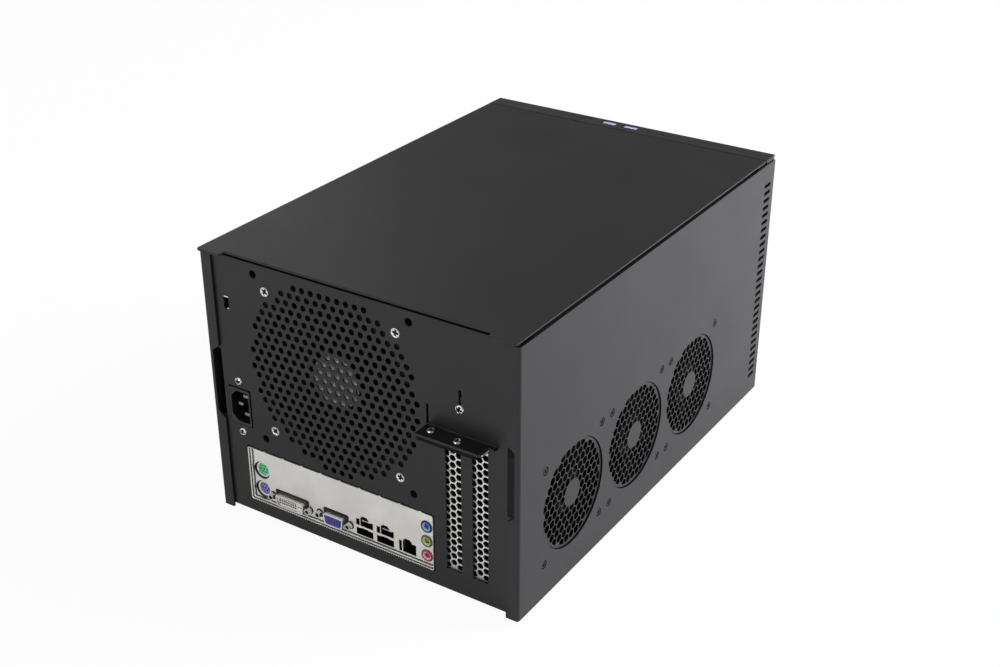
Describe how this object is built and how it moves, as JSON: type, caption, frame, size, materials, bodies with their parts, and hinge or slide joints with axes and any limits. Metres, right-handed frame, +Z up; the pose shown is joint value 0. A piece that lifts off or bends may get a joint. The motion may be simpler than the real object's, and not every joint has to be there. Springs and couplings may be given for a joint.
{
  "type": "network storage case",
  "caption": "Compact black storage case with drive bays behind a front door, board ports and a perforated fan field at the rear, and honeycomb fan vents in a side panel",
  "frame": {"origin": "on the floor under the middle of the case and its rear ledge", "axes": "+X away from the fan side, +Y to the rear with the ports, +Z up"},
  "size_m": [0.25, 0.3766, 0.206],
  "materials": {
    "satin_black_metal": "satin",
    "chassis_metal": "satin",
    "bright_plate": "satin",
    "port_metal": "satin",
    "green_plastic": "satin",
    "purple_plastic": "satin",
    "blue_plastic": "satin",
    "pink_plastic": "satin",
    "ivory_plastic": "satin",
    "black_plastic": "satin",
    "grey_plastic": "satin",
    "clear_plastic": "gloss",
    "board_laminate": "satin",
    "bare_aluminium": "satin",
    "zinc_steel": "satin",
    "foot_rubber": "matte",
    "tray_plastic": "satin"
  },
  "bodies": {
    "case": {"rear_panel": "satin_black_metal", "base_tray": "chassis_metal", "rubber_feet": "foot_rubber", "top_cover": "satin_black_metal", "slot_covers": "bright_plate", "slot_retainer": "satin_black_metal", "io_shield": "bright_plate", "ps2_housing": "port_metal", "keyboard_port": "purple_plastic", "mouse_port": "green_plastic", "dvi_shell": "port_metal", "dvi_insert": "ivory_plastic", "vga_shell": "port_metal", "vga_insert": "blue_plastic", "port_stack_1": "port_metal", "port_stack_2": "port_metal", "network_port": "port_metal", "audio_block": "black_plastic", "microphone_jack": "pink_plastic", "line_out_jack": "green_plastic", "line_in_jack": "blue_plastic", "power_inlet": "black_plastic", "inlet_pins": "port_metal", "main_board": "board_laminate", "board_standoffs": "port_metal", "processor_cooler": "bare_aluminium", "memory_modules": "board_laminate", "card_socket": "black_plastic", "front_frame": "satin_black_metal", "door_pins": "port_metal", "door_magnet": "port_metal", "front_io_board": "board_laminate", "top_usb_shells": "port_metal", "top_usb_tongues": "blue_plastic", "status_lights": "clear_plastic", "drive_cage": "chassis_metal", "drive_backplane": "board_laminate", "bay_connectors": "black_plastic", "tray_levers": "black_plastic", "power_supply": "zinc_steel", "rear_fan_frame": "black_plastic", "drive_tray_1": "tray_plastic", "drive_tray_2": "tray_plastic", "drive_tray_3": "tray_plastic", "drive_tray_4": "tray_plastic", "drive_tray_5": "tray_plastic", "drive_tray_6": "tray_plastic", "drive_tray_7": "tray_plastic", "drive_tray_8": "tray_plastic"},
    "fan_side_panel": {"fan_side_panel": "satin_black_metal", "side_fan_frame_1": "black_plastic", "side_fan_frame_2": "black_plastic", "side_fan_frame_3": "black_plastic"},
    "plain_side_panel": {"plain_side_panel": "satin_black_metal"},
    "front_door": {"front_door": "satin_black_metal"},
    "power_button": {"power_button": "black_plastic"},
    "rear_fan_rotor": {"rear_fan_rotor": "grey_plastic"},
    "side_fan_rotor_1": {"side_fan_rotor_1": "grey_plastic"},
    "side_fan_rotor_2": {"side_fan_rotor_2": "grey_plastic"},
    "side_fan_rotor_3": {"side_fan_rotor_3": "grey_plastic"}
  },
  "joints": [
    {"name": "fan_side_panel_pull", "type": "slide", "parent": "case", "child": "fan_side_panel", "axis": [-1, 0, 0], "range_m": [0, 0.04]},
    {"name": "plain_side_panel_pull", "type": "slide", "parent": "case", "child": "plain_side_panel", "axis": [1, 0, 0], "range_m": [0, 0.04]},
    {"name": "front_door_swing", "type": "hinge", "parent": "case", "child": "front_door", "pos_m": [-0.1186, -0.18425, 0.1005], "axis": [0, 0, -1], "range_deg": [0, 95]},
    {"name": "power_button_press", "type": "slide", "parent": "case", "child": "power_button", "axis": [0, 0, -1], "range_m": [0, 0.0015], "stiffness_N_per_m": 600, "springref_m": -0.0004},
    {"name": "rear_fan_spin", "type": "hinge", "parent": "case", "child": "rear_fan_rotor", "pos_m": [0.0186, 0.16025, 0.1336], "axis": [0, 1, 0], "continuous": true},
    {"name": "side_fan_spin_1", "type": "hinge", "parent": "fan_side_panel", "child": "side_fan_rotor_1", "pos_m": [-0.111, 0.10885, 0.0658], "axis": [1, 0, 0], "continuous": true},
    {"name": "side_fan_spin_2", "type": "hinge", "parent": "fan_side_panel", "child": "side_fan_rotor_2", "pos_m": [-0.111, 0.02352, 0.0658], "axis": [1, 0, 0], "continuous": true},
    {"name": "side_fan_spin_3", "type": "hinge", "parent": "fan_side_panel", "child": "side_fan_rotor_3", "pos_m": [-0.111, -0.06181, 0.0658], "axis": [1, 0, 0], "continuous": true}
  ]
}
